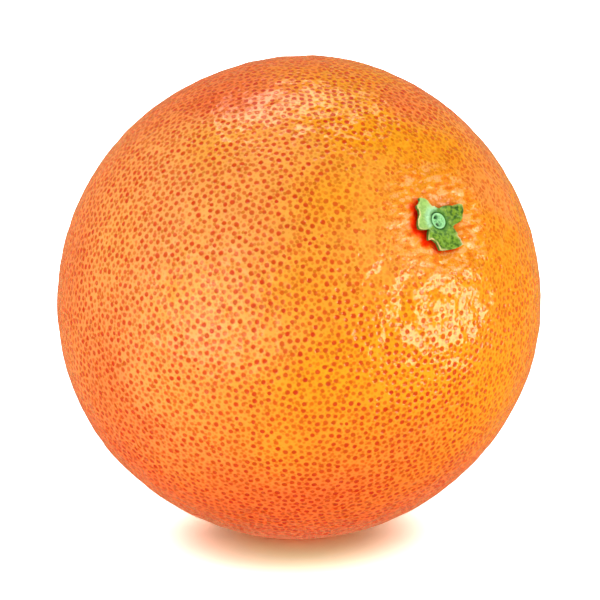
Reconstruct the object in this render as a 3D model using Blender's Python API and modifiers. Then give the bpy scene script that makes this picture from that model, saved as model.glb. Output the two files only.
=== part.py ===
"""A sweet orange as picked: the whole fruit, its green calyx and the cut stub of its stem.

Metres, +Z up. The fruit lies a little on its side on a small flat spot, whose middle is the
origin, and its stem end points towards -Y and upwards. Each piece is shaped in the fruit's own
frame, with the stem along +Z and the fruit's middle at the origin, and is carried by one empty.
"""

import math

import bmesh
import bpy
import numpy as np

MM = 0.001

# The whole fruit
EQUATOR_RADIUS = 41.7 * MM
POLE_RADIUS = 42.5 * MM
STEM_ELEVATION = math.radians(28.0)
REST_SPOT_RADIUS = 6.2 * MM

# The hollow that the stem grows from, and the dimple at the blossom end
BASIN_DEPTH = 1.7 * MM
BASIN_WIDTH = 5.6 * MM
DIMPLE_DEPTH = 0.6 * MM
DIMPLE_WIDTH = 3.4 * MM

# Soft swellings (+) and hollows (-) of the flanks: azimuth round the stem, angle from the stem
# and spread in degrees, then height in metres
SWELLINGS = (
    (73.0, 65.0, 24.0, 0.70 * MM),
    (118.0, 101.0, 26.0, 0.20 * MM),
    (-61.0, 77.0, 26.0, -0.02 * MM),
    (-37.0, 62.0, 18.0, 0.26 * MM),
    (-168.0, 132.0, 30.0, 0.30 * MM),
)

# The calyx: a flat green star round the stem
CALYX_HOLE_RADIUS = 1.95 * MM
CALYX_THICKNESS = 0.7 * MM
CALYX_TIP_LIFT = 0.35 * MM
# Its torn edge: azimuths round the stem in degrees, and how far the edge reaches there, in mm.
# Three broad sepals (the first and last rows are one) and a small one at 218 degrees.
CALYX_EDGE = (
    (2, 5.0), (7, 5.4), (15, 5.7), (20, 5.8), (25, 5.2), (31, 4.0), (42, 3.4), (53, 2.9),
    (66, 2.5), (88, 2.5), (98, 2.6), (108, 2.8), (113, 4.1), (120, 4.9), (126, 5.4),
    (128, 5.0), (138, 5.0), (144, 5.3), (150, 4.6), (158, 4.4), (167, 4.6), (178, 5.1),
    (184, 5.3), (190, 5.4), (195, 4.6), (203, 3.2), (213, 4.4), (218, 5.2), (224, 4.5),
    (231, 4.4), (240, 4.6), (247, 5.8), (262, 5.5), (275, 5.5), (292, 5.7), (300, 5.8),
    (304, 4.9), (308, 4.1), (317, 3.5), (327, 2.8), (338, 3.2), (350, 4.5),
)

# The cut stub of the stem: its rise over the calyx, the depth of the hollow in its cut end, the
# depth and radius of a ring half-way down that hollow, and its flat rim and bevelled edge
STUB_RADIUS = 1.45 * MM
STUB_RISE = 0.05 * MM
STUB_HOLLOW = 0.3 * MM
STUB_HALFWAY_DEPTH = 0.21 * MM
STUB_HALFWAY_RADIUS = 0.725 * MM
STUB_RIM = 0.15 * MM
STUB_EDGE = 0.15 * MM

# Clearance between pieces that touch, and how near two vertices lie that become one
GAP = 0.3 * MM
MERGE_DISTANCE = 0.003 * MM

# How finely each piece is divided
RIND_SEGMENTS = 56
RIND_RINGS = 40
RING_CROWDING = 0.6
CALYX_SEGMENTS = 90
CALYX_RINGS = 4
STUB_SEGMENTS = 32

# The block that cuts the rest spot, and the size of the empty
CUTTER_SIZE = 40.0 * MM
EMPTY_SIZE = 20.0 * MM

# Colours, and roughness from 0 (polished) to 1 (matt)
RIND_COLOUR = "#F99332"
RIND_ROUGHNESS = 0.42
CALYX_COLOUR = "#86B255"
CALYX_ROUGHNESS = 0.7
STUB_COLOUR = "#93CC86"
STUB_ROUGHNESS = 0.75


def linear_colour(hex_colour):
    """Turn an sRGB hex colour into linear RGBA."""
    channels = [int(hex_colour[i:i + 2], 16) / 255.0 for i in (1, 3, 5)]
    linear = [c / 12.92 if c <= 0.04045 else ((c + 0.055) / 1.055) ** 2.4 for c in channels]
    return (*linear, 1.0)


def make_material(name, hex_colour, roughness):
    """Make a Principled material of one colour."""
    material = bpy.data.materials.new(name)
    material.use_nodes = True
    shader = material.node_tree.nodes["Principled BSDF"]
    shader.inputs["Base Color"].default_value = linear_colour(hex_colour)
    shader.inputs["Roughness"].default_value = roughness
    shader.inputs["Metallic"].default_value = 0.0
    return material


def direction(azimuth, polar):
    """Unit vectors at an azimuth round the stem and an angle from the stem."""
    return np.stack((np.sin(polar) * np.cos(azimuth), np.sin(polar) * np.sin(azimuth),
                     np.cos(polar)), axis=-1)


def rind_radius(azimuth, polar):
    """Distance of the rind from the fruit's middle.

    An ellipse turned about the stem, with soft swellings on its flanks, less the stem's
    bell-shaped basin and the dimple of the blossom end.
    """
    body = POLE_RADIUS * EQUATOR_RADIUS / np.hypot(POLE_RADIUS * np.sin(polar),
                                                   EQUATOR_RADIUS * np.cos(polar))
    towards = direction(azimuth, polar)
    swollen = np.zeros_like(body)
    for middle_azimuth, middle_polar, spread, height in SWELLINGS:
        middle = direction(math.radians(middle_azimuth), math.radians(middle_polar))
        angle = np.arccos(np.clip(towards @ middle, -1.0, 1.0))
        swollen = swollen + height * np.exp(-(angle / math.radians(spread)) ** 2)
    basin = BASIN_DEPTH * np.exp(-(polar * POLE_RADIUS / BASIN_WIDTH) ** 2)
    dimple = DIMPLE_DEPTH * np.exp(-((math.pi - polar) * POLE_RADIUS / DIMPLE_WIDTH) ** 2)
    return body + swollen - basin - dimple


def rind_height(azimuth, reach):
    """Height of the rind along the stem, at a distance from the stem's axis."""
    polar = np.arcsin(reach / POLE_RADIUS)
    return rind_radius(azimuth, polar) * np.cos(polar)


def middle_height():
    """Height of the fruit's middle above the ground, with the rest spot pressed flat."""
    down_azimuth = -math.pi / 2.0
    down_polar = math.pi / 2.0 + STEM_ELEVATION
    radius = float(rind_radius(np.array(down_azimuth), np.array(down_polar)))
    return math.sqrt(radius ** 2 - REST_SPOT_RADIUS ** 2)


def vertex_places(mesh):
    """The places of a mesh's vertices, as rows of an array."""
    places = np.empty(3 * len(mesh.vertices))
    mesh.vertices.foreach_get("co", places)
    return places.reshape(-1, 3)


def move_vertices(mesh, places):
    """Put a mesh's vertices at the rows of an array."""
    mesh.vertices.foreach_set("co", places.ravel())
    mesh.update()


def add_piece(name, mesh, material, collection, carrier):
    """Add a mesh as one piece of the orange."""
    mesh.materials.append(material)
    mesh.shade_smooth()
    piece = bpy.data.objects.new(name, mesh)
    piece.parent = carrier
    collection.objects.link(piece)
    return piece


def make_collection(name):
    """Add a collection to the scene."""
    collection = bpy.data.collections.new(name)
    bpy.context.scene.collection.children.link(collection)
    return collection


def make_carrier(collection):
    """Add the empty that turns the fruit's own frame to the way it lies."""
    carrier = bpy.data.objects.new("fruit_frame", None)
    carrier.empty_display_size = EMPTY_SIZE
    carrier.location = (0.0, 0.0, middle_height())
    carrier.rotation_euler = (math.pi / 2.0 - STEM_ELEVATION, 0.0, 0.0)
    collection.objects.link(carrier)
    return carrier


def make_ground_cutter(collection):
    """Add the block below the ground, which cuts the rest spot flat."""
    mesh = bpy.data.meshes.new("ground_cutter")
    cage = bmesh.new()
    bmesh.ops.create_cube(cage, size=CUTTER_SIZE)
    cage.to_mesh(mesh)
    cage.free()
    cutter = bpy.data.objects.new("ground_cutter", mesh)
    cutter.location = (0.0, 0.0, -CUTTER_SIZE / 2.0)
    cutter.hide_render = True
    cutter.display_type = "WIRE"
    collection.objects.link(cutter)
    return cutter


def make_fruit(collection, carrier, cutter):
    """Make the fruit from a sphere whose rings crowd towards its two ends."""
    mesh = bpy.data.meshes.new("fruit")
    ball = bmesh.new()
    bmesh.ops.create_uvsphere(ball, u_segments=RIND_SEGMENTS, v_segments=RIND_RINGS, radius=1.0)
    ball.to_mesh(mesh)
    ball.free()

    places = vertex_places(mesh)
    azimuth = np.arctan2(places[:, 1], places[:, 0])
    share = np.arccos(np.clip(places[:, 2], -1.0, 1.0)) / math.pi
    crowded = share - RING_CROWDING * np.sin(2.0 * math.pi * share) / (2.0 * math.pi)
    polar = math.pi * crowded
    move_vertices(mesh, direction(azimuth, polar) * rind_radius(azimuth, polar)[:, None])

    rind = make_material("rind", RIND_COLOUR, RIND_ROUGHNESS)
    fruit = add_piece("fruit", mesh, rind, collection, carrier)
    flat = fruit.modifiers.new("rest_spot", "BOOLEAN")
    flat.operation = "DIFFERENCE"
    flat.solver = "EXACT"
    flat.object = cutter
    return fruit


def calyx_reach(azimuth):
    """Distance of the calyx's torn edge from the stem, straight between the edge's points."""
    degrees, reach = np.array(CALYX_EDGE).T
    return MM * np.interp(np.degrees(azimuth), degrees, reach, period=360.0)


def make_calyx(collection, carrier):
    """Make the calyx from a grid bent round the stem and laid over the basin."""
    mesh = bpy.data.meshes.new("calyx")
    sheet = bmesh.new()
    bmesh.ops.create_grid(sheet, x_segments=CALYX_SEGMENTS, y_segments=CALYX_RINGS, size=0.5)
    sheet.to_mesh(mesh)
    sheet.free()

    places = vertex_places(mesh)
    azimuth = 2.0 * math.pi * (0.5 - places[:, 0])
    outward = places[:, 1] + 0.5
    reach = CALYX_HOLE_RADIUS + outward * (calyx_reach(azimuth) - CALYX_HOLE_RADIUS)
    height = rind_height(azimuth, reach) + GAP + CALYX_TIP_LIFT * outward ** 2
    places = np.stack((reach * np.cos(azimuth), reach * np.sin(azimuth), height), axis=-1)
    move_vertices(mesh, places)

    seam = bmesh.new()
    seam.from_mesh(mesh)
    bmesh.ops.remove_doubles(seam, verts=seam.verts, dist=MERGE_DISTANCE)
    seam.to_mesh(mesh)
    seam.free()

    sepals = make_material("calyx", CALYX_COLOUR, CALYX_ROUGHNESS)
    calyx = add_piece("calyx", mesh, sepals, collection, carrier)
    wall = calyx.modifiers.new("thickness", "SOLIDIFY")
    wall.thickness = CALYX_THICKNESS
    wall.offset = 1.0
    return calyx


def make_stem_stub(collection, carrier):
    """Make the cut stub from a profile turned about the stem, with a hollow cut end."""
    along = np.zeros(1)
    foot = float(rind_height(along, np.array([STUB_RADIUS]))[0]) + GAP
    calyx_top = rind_height(along, np.array([CALYX_HOLE_RADIUS]))[0] + GAP + CALYX_THICKNESS
    top = float(calyx_top) + STUB_RISE
    profile = (
        (0.0, top - STUB_HOLLOW),
        (STUB_HALFWAY_RADIUS, top - STUB_HALFWAY_DEPTH),
        (STUB_RADIUS - STUB_EDGE - STUB_RIM, top),
        (STUB_RADIUS - STUB_EDGE, top),
        (STUB_RADIUS, top - STUB_EDGE),
        (STUB_RADIUS, foot),
        (0.0, foot),
    )
    mesh = bpy.data.meshes.new("stem_stub")
    edges = [(i, i + 1) for i in range(len(profile) - 1)]
    mesh.from_pydata([(x, 0.0, z) for x, z in profile], edges, [])

    wood = make_material("stem_stub", STUB_COLOUR, STUB_ROUGHNESS)
    stub = add_piece("stem_stub", mesh, wood, collection, carrier)
    turn = stub.modifiers.new("turn", "SCREW")
    turn.steps = STUB_SEGMENTS
    turn.render_steps = STUB_SEGMENTS
    turn.use_merge_vertices = True
    turn.merge_threshold = MERGE_DISTANCE
    return stub


def main():
    """Build the orange."""
    for old in list(bpy.data.objects):
        bpy.data.objects.remove(old, do_unlink=True)
    orange = make_collection("sweet_orange")
    cutters = make_collection("cutters")
    carrier = make_carrier(orange)
    cutter = make_ground_cutter(cutters)
    make_fruit(orange, carrier, cutter)
    make_calyx(orange, carrier)
    make_stem_stub(orange, carrier)


main()
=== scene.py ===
"""A sweet orange as picked: its pitted rind, the green calyx and the cut stub of the stem.

The fruit lies on its side on a small flat spot, in a white studio. Everything is in metres,
with +Z up and the origin in the middle of that spot. Each piece is a surface worked out with
numpy in the fruit's own frame, where the stem is along +Z, and is then turned to the way it lies.
"""

import logging
import math
from dataclasses import dataclass, field
from enum import Enum
from typing import Any

import bmesh
import bpy
import numpy as np
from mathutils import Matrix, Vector


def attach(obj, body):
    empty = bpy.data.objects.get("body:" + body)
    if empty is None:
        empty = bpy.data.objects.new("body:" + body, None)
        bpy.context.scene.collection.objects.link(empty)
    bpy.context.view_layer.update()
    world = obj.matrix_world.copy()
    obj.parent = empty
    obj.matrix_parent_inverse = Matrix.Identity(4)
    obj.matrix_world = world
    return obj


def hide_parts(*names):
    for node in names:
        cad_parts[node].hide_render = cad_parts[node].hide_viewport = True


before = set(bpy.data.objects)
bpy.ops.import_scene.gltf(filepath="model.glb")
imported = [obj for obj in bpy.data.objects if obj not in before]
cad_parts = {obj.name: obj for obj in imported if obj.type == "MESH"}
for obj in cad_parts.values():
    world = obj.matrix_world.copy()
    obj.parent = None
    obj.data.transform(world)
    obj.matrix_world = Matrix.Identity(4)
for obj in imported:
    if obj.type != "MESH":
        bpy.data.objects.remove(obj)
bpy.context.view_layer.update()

# Types that come up often
Array = np.ndarray
Colour = tuple[float, float, float, float]
Pair = tuple[float, float]
Socket = bpy.types.NodeSocket
Triple = tuple[float, float, float]

LOG = logging.getLogger("sweet_orange")
MM = 0.001
TINY = 1e-9

# The side of the square picture that the camera's scale is worked out for, in pixels
PICTURE_SIDE = 600.0

# The turn between neighbours on a golden spiral, and the steps between its near neighbours
GOLDEN_ANGLE = math.pi * (3.0 - math.sqrt(5.0))
FIBONACCI = (1, 2, 3, 5, 8, 13, 21, 34, 55, 89, 144, 233, 377)

# Where the vertices of a rounded edge lie
BEND = np.radians([30.0, 60.0, 90.0])

# The vector operations whose result is a number
GIVES_A_NUMBER = ("DISTANCE", "LENGTH", "DOT_PRODUCT")


class Lights(Enum):
    """What a lamp gives the surfaces that it reaches."""

    GLOSS = "gloss"
    FORM = "form"


class Domain(Enum):
    """What an attribute has one value for."""

    POINT = "POINT"
    FACE = "FACE"


def linear(hex_colour: str) -> Colour:
    """Turn an sRGB hex colour into linear RGBA.

    Args:
        hex_colour: The colour as #RRGGBB.

    Returns:
        The linear red, green and blue, and an alpha of one.
    """
    channels = [int(hex_colour[i:i + 2], 16) / 255.0 for i in (1, 3, 5)]
    straight = [c / 12.92 if c <= 0.04045 else ((c + 0.055) / 1.055) ** 2.4 for c in channels]
    return (*straight, 1.0)


@dataclass(frozen=True)
class ShaderTree:
    """The node tree of a material or a sky, and the short steps that fill it.

    A socket that a step gives back is its result, which feeds the next step.
    """

    tree: bpy.types.NodeTree

    def feed(self, node: bpy.types.Node, inputs: dict[Any, Any]) -> None:
        """Link or set the inputs of a node.

        Args:
            node: The node.
            inputs: Socket names or numbers, each with the socket that feeds it or its value.
        """
        for key, value in inputs.items():
            if isinstance(value, Socket):
                self.tree.links.new(value, node.inputs[key])
            else:
                node.inputs[key].default_value = value

    def add(self, kind: str, inputs: dict[Any, Any] | None = None,
            **settings: Any) -> bpy.types.Node:
        """Add a node with its settings and links.

        Args:
            kind: The node's type without its ShaderNode prefix.
            inputs: Its inputs, as feed takes them.
            **settings: Properties of the node itself.

        Returns:
            The new node.
        """
        node = self.tree.nodes.new("ShaderNode" + kind)
        for name, value in settings.items():
            setattr(node, name, value)
        self.feed(node, inputs or {})
        return node

    def reckoned(self, operation: str, *values: Any) -> Socket:
        """Work out an operation on vectors.

        Args:
            operation: The operation's name.
            *values: What goes into it, sockets or vectors.

        Returns:
            The result: a number for a distance, a length or a dot product.
        """
        node = self.add("VectorMath", dict(enumerate(values)), operation=operation)
        return node.outputs["Value" if operation in GIVES_A_NUMBER else "Vector"]

    def number(self, operation: str, first: Any, second: Any) -> Socket:
        """Work out an operation on two numbers, sockets or values."""
        return self.add("Math", {0: first, 1: second}, operation=operation).outputs[0]

    def mixed(self, factor: Any, first: Any, second: Any, blend: str = "MIX") -> Socket:
        """Mix two colours.

        Args:
            factor: The second colour's share, a socket or a number.
            first: The first colour, a socket, a hex colour or linear RGBA.
            second: The second colour, likewise.
            blend: How the second colour goes over the first.

        Returns:
            The mixed colour.
        """
        first, second = (linear(c) if isinstance(c, str) else c for c in (first, second))
        node = self.add("Mix", {0: factor, 6: first, 7: second}, data_type="RGBA",
                        blend_type=blend)
        return node.outputs[2]

    def ramped(self, value: Socket, low: float, high: float, to: Any = 1.0,
               start: Any = 0.0) -> Socket:
        """Map a value smoothly from start at low to its end at high.

        Args:
            value: The value to map.
            low: Where the change starts.
            high: Where it ends, which may lie below low.
            to: The result at high and beyond.
            start: The result at low and before.

        Returns:
            The mapped value.
        """
        node = self.add("MapRange", {"Value": value, "From Min": low, "From Max": high,
                                     "To Min": start, "To Max": to},
                        interpolation_type="SMOOTHSTEP")
        return node.outputs["Result"]

    def chosen(self, choice: Socket, no: Any, yes: Any) -> Socket:
        """Take one number where a choice is 0 and another where it is 1."""
        return self.add("MapRange", {"Value": choice, "To Min": no,
                                     "To Max": yes}).outputs["Result"]

    def attribute(self, name: str) -> dict[str, Socket]:
        """Read an attribute of three numbers.

        Args:
            name: The attribute's name.

        Returns:
            Its whole vector and its three numbers, named all, x, y and z.
        """
        whole = self.add("Attribute", attribute_name=name).outputs["Vector"]
        parts = self.add("SeparateXYZ", {"Vector": whole}).outputs
        return {"all": whole, "x": parts["X"], "y": parts["Y"], "z": parts["Z"]}

    def noise(self, place: Socket, size: float, detail: float = 2.0) -> bpy.types.Node:
        """Add noise whose largest blots are about a size across."""
        return self.add("TexNoise", {"Vector": place, "Scale": 1.0 / size, "Detail": detail})

    def bumped(self, height: Socket, depth: float, normal: Socket | None = None,
               sunk: bool = False) -> Socket:
        """Tilt the shading normal as a relief would.

        Args:
            height: The relief's height, from 0 to 1.
            depth: How far a height of one stands out, in metres.
            normal: The normal to start from, or none for the surface's own.
            sunk: Whether the relief goes inward.

        Returns:
            The tilted normal.
        """
        inputs = {"Height": height, "Strength": 1.0, "Distance": depth}
        if normal is not None:
            inputs["Normal"] = normal
        return self.add("Bump", inputs, invert=sunk).outputs["Normal"]


def new_material(name: str) -> tuple[bpy.types.Material, ShaderTree, bpy.types.Node]:
    """Start a material.

    Args:
        name: The material's name.

    Returns:
        The material, its node tree and its Principled shader.
    """
    material = bpy.data.materials.new(name)
    material.use_nodes = True
    tree = ShaderTree(material.node_tree)
    return material, tree, material.node_tree.nodes["Principled BSDF"]


def smoothstep(low: float, high: float, values: Array) -> Array:
    """Rise smoothly from 0 at low to 1 at high: 3t squared less 2t cubed.

    Args:
        low: Where the rise starts.
        high: Where it ends, which may lie below low for a fall.
        values: The values to map.

    Returns:
        The share of the rise at each value.
    """
    share = np.clip((values - low) / (high - low), 0.0, 1.0)
    return share * share * (3.0 - 2.0 * share)


def bell(values: Array, width: float) -> Array:
    """Fall from 1 at nought to 1/e at the width: e to the minus square of their quotient."""
    return np.exp(-(values / width) ** 2)


def round_stem(count: int) -> Array:
    """Azimuths that stand evenly round the stem."""
    return np.arange(count) * 2.0 * math.pi / count


def degrees_off(azimuth: Array, middle: float) -> Array:
    """How far azimuths in radians lie from a middle in degrees, from -180 to 180 degrees."""
    return (np.degrees(azimuth) - middle + 180.0) % 360.0 - 180.0


def across(azimuth: Array, reach: Array) -> Array:
    """Places across the stem, at azimuths and distances from its axis."""
    return np.stack((reach * np.cos(azimuth), reach * np.sin(azimuth)), -1)


def grown(mix: Pair, values: Array) -> Array:
    """A fixed share plus one that grows with the values, the mix's first and second."""
    return mix[0] + mix[1] * values


@dataclass(frozen=True)
class Hills:
    """Smooth random hills and hollows, as high and as long as stated.

    They are the sum of cosines of plane waves that run in random directions, each with a
    length near size and a random phase.
    """

    height: float
    size: float
    seed: int
    waves: int = 48
    length_spread: Pair = (0.7, 1.5)

    def over(self, places: Array) -> Array:
        """Height of the hills.

        Args:
            places: Places as rows, of any number of coordinates.

        Returns:
            One height for each place.
        """
        rng = np.random.default_rng(self.seed)
        ways = rng.normal(size=(self.waves, places.shape[-1]))
        ways /= np.linalg.norm(ways, axis=1, keepdims=True)
        lengths = self.size * rng.uniform(*self.length_spread, self.waves)
        phases = rng.uniform(0.0, 2.0 * math.pi, self.waves)
        swell = np.cos(places @ (2.0 * math.pi * ways / lengths[:, None]).T + phases).sum(-1)
        return self.height * (swell * math.sqrt(2.0 / self.waves))


def towards(azimuth: Array, polar: Array) -> Array:
    """Unit vectors at an azimuth round the stem and an angle from the stem.

    Args:
        azimuth: Angles round the stem.
        polar: Angles from the stem.

    Returns:
        One unit vector for each pair of angles.
    """
    return np.stack((np.sin(polar) * np.cos(azimuth), np.sin(polar) * np.sin(azimuth),
                     np.cos(polar) + 0.0 * azimuth), axis=-1)


def facing_out(places: Array, faces: Array) -> Array:
    """Turn the triangles of a closed surface so that all face outward.

    The sum over the triangles of a corner dotted with the cross product of the other two is
    six times the volume, and is negative if they face inward.

    Args:
        places: The vertices as rows.
        faces: Rows of three vertex numbers, all turning the same way.

    Returns:
        The same triangles, facing outward.
    """
    a, b, c = (places[faces[:, i]] for i in range(3))
    volume = np.einsum("ij,ij->", a, np.cross(b, c))
    return faces if volume > 0.0 else faces[:, ::-1]


def make_piece(name: str, places: Array, faces: Array, node: str) -> bpy.types.Object:
    """Put a surface into a mesh and let it stand for a CAD node.

    Args:
        name: The piece's name.
        places: The vertices as rows, in metres, where they lie.
        faces: Rows of three vertex numbers.
        node: The CAD node that it replaces.

    Returns:
        The new object.
    """
    faces = facing_out(places, faces)
    mesh = bpy.data.meshes.new(name)
    mesh.vertices.add(len(places))
    mesh.vertices.foreach_set("co", places.ravel())
    mesh.loops.add(faces.size)
    mesh.loops.foreach_set("vertex_index", faces.ravel())
    mesh.polygons.add(len(faces))
    mesh.polygons.foreach_set("loop_start", np.arange(0, faces.size, 3))
    mesh.update(calc_edges=True)
    mesh.shade_smooth()
    piece = bpy.data.objects.new(name, mesh)
    bpy.context.scene.collection.objects.link(piece)
    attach(piece, "root")
    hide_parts(node)
    return piece


def add_values(piece: bpy.types.Object, name: str, values: Array, domain: Domain) -> None:
    """Give a piece an attribute of three numbers.

    Args:
        piece: The piece.
        name: The attribute's name, which its material reads.
        values: Three numbers for each vertex or face.
        domain: Whether there is one row a vertex or one row a face.
    """
    layer = piece.data.attributes.new(name, "FLOAT_VECTOR", domain.value)
    layer.data.foreach_set("vector", np.ascontiguousarray(values, dtype=np.float32).ravel())


def grid_faces(rows: int, columns: int, closed: bool) -> Array:
    """Triangles of a grid of vertices whose rows each close into a ring.

    Args:
        rows: How many rings there are.
        columns: How many vertices a ring has.
        closed: Whether the last ring also meets the first.

    Returns:
        Rows of three vertex numbers.
    """
    row, column = np.meshgrid(np.arange(rows if closed else rows - 1), np.arange(columns),
                              indexing="ij")
    below, beside = (row + 1) % rows, (column + 1) % columns
    a, b = row * columns + column, row * columns + beside
    c, d = below * columns + beside, below * columns + column
    return np.concatenate((np.stack((a, b, c), -1).reshape(-1, 3),
                           np.stack((a, c, d), -1).reshape(-1, 3)))


@dataclass(frozen=True)
class Swelling:
    """A soft swelling or hollow of the fruit's flank, in degrees and metres."""

    azimuth: float
    polar: float
    spread: float
    height: float


@dataclass(frozen=True)
class FruitShape:
    """The fruit's whole form, the same as the CAD fruit's, and the way it lies."""

    equator_radius: float = 41.7 * MM
    pole_radius: float = 42.5 * MM
    stem_elevation: float = math.radians(28.0)
    rest_spot_radius: float = 6.2 * MM
    basin_depth: float = 1.7 * MM
    basin_width: float = 5.6 * MM
    dimple_depth: float = 0.6 * MM
    dimple_width: float = 3.4 * MM
    press_softness: float = 0.08 * MM
    swellings: tuple[Swelling, ...] = (
        Swelling(73.0, 65.0, 24.0, 0.70 * MM),
        Swelling(118.0, 101.0, 26.0, 0.20 * MM),
        Swelling(-61.0, 77.0, 26.0, -0.02 * MM),
        Swelling(-37.0, 62.0, 18.0, 0.26 * MM),
        Swelling(-168.0, 132.0, 30.0, 0.30 * MM),
    )

    def radius(self, ways: Array) -> Array:
        """Distance of the rind from the fruit's middle.

        An ellipse turned about the stem, with soft swellings on its flanks, less the stem's
        bell-shaped basin and the dimple of the blossom end.

        Args:
            ways: Unit vectors as rows, in the fruit's own frame.

        Returns:
            One distance for each row.
        """
        polar = np.arccos(np.clip(ways[..., 2], -1.0, 1.0))
        body = self.pole_radius * self.equator_radius / np.hypot(
            self.pole_radius * np.sin(polar), self.equator_radius * np.cos(polar))
        for swelling in self.swellings:
            middle = towards(np.array(math.radians(swelling.azimuth)),
                             np.array(math.radians(swelling.polar)))
            angle = np.arccos(np.clip(ways @ middle, -1.0, 1.0))
            body = body + swelling.height * bell(angle, math.radians(swelling.spread))
        reach = polar * self.pole_radius
        far_reach = (math.pi - polar) * self.pole_radius
        return (body - self.basin_depth * bell(reach, self.basin_width)
                - self.dimple_depth * bell(far_reach, self.dimple_width))

    def reach(self, ways: Array) -> Array:
        """Distance of directions from the stem along the rind, in metres."""
        return np.arccos(np.clip(ways[:, 2], -1.0, 1.0)) * self.pole_radius

    def over_rind(self, azimuth: Array, reach: Array, lift: Array) -> Array:
        """Places at a distance from the stem's axis and a height above the rind.

        Args:
            azimuth: Angles round the stem.
            reach: Distances from the stem's axis.
            lift: Heights above the rind, along the stem.

        Returns:
            One place for each, in the fruit's own frame.
        """
        polar = np.arcsin(reach / self.pole_radius)
        height = self.radius(towards(azimuth, polar)) * np.cos(polar)
        return np.stack((reach * np.cos(azimuth), reach * np.sin(azimuth), height + lift), -1)

    def middle_height(self) -> float:
        """Height of the fruit's middle above the ground, with the rest spot pressed flat."""
        down = np.array([[0.0, 0.0, -1.0]]) @ self.turn()
        return math.sqrt(float(self.radius(down)[0]) ** 2 - self.rest_spot_radius ** 2)

    def turn(self) -> Array:
        """The matrix that turns the fruit's own frame to the way it lies: a turn about X.

        Returns:
            Three rows of three numbers.
        """
        tilt = math.pi / 2.0 - self.stem_elevation
        c, s = math.cos(tilt), math.sin(tilt)
        return np.array([[1.0, 0.0, 0.0], [0.0, c, -s], [0.0, s, c]])

    def lay_down(self, places: Array) -> Array:
        """Move places from the fruit's own frame to where they lie, none below the ground.

        The turned height z is replaced by half of z plus the root of z squared and the
        softness squared, which is the height itself above ground and nothing below it.

        Args:
            places: Places as rows, in the fruit's own frame.

        Returns:
            The same places in the world.
        """
        lying = places @ self.turn().T
        lying[..., 2] += self.middle_height()
        lying[..., 2] = 0.5 * (lying[..., 2] + np.hypot(lying[..., 2], self.press_softness))
        return lying


@dataclass(frozen=True)
class TornEdge:
    """The calyx's torn outline: azimuths round the stem in degrees, and its reach in mm."""

    points: tuple[Pair, ...] = (
        (2, 5.0), (7, 5.4), (15, 5.7), (20, 5.8), (25, 5.2), (31, 4.0), (42, 3.4), (53, 2.9),
        (66, 2.35), (78, 2.3), (88, 2.4), (98, 2.6), (108, 2.8), (113, 4.1), (120, 4.9),
        (126, 5.4), (128, 5.0), (138, 5.0), (144, 5.3), (150, 4.6), (158, 4.4), (167, 4.6),
        (178, 5.1), (184, 5.3), (190, 5.4), (195, 4.6), (203, 3.2), (213, 4.4), (218, 5.2),
        (224, 4.5), (231, 4.4), (235, 4.5), (240, 4.6), (247, 5.8), (262, 5.5), (275, 5.5),
        (292, 5.7), (300, 5.8), (304, 4.9), (308, 4.1), (317, 3.5), (327, 2.8), (338, 3.2),
        (350, 4.5),
    )
    samples: int = 720

    def reach(self, azimuth: Array) -> Array:
        """Distance of the outline from the stem, straight between its points."""
        degrees, reach = np.array(self.points).T
        return MM * np.interp(np.degrees(azimuth), degrees, reach, period=360.0)

    def distance(self, flat: Array) -> Array:
        """Distance of places from the outline, seen along the stem.

        Args:
            flat: Places across the stem, as rows of two numbers in metres.

        Returns:
            The distance of each from the nearest of many points along the outline.
        """
        azimuth = round_stem(self.samples)
        line = across(azimuth, self.reach(azimuth))
        return np.linalg.norm(flat[:, None, :] - line[None, :, :], axis=-1).min(axis=1)


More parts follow.
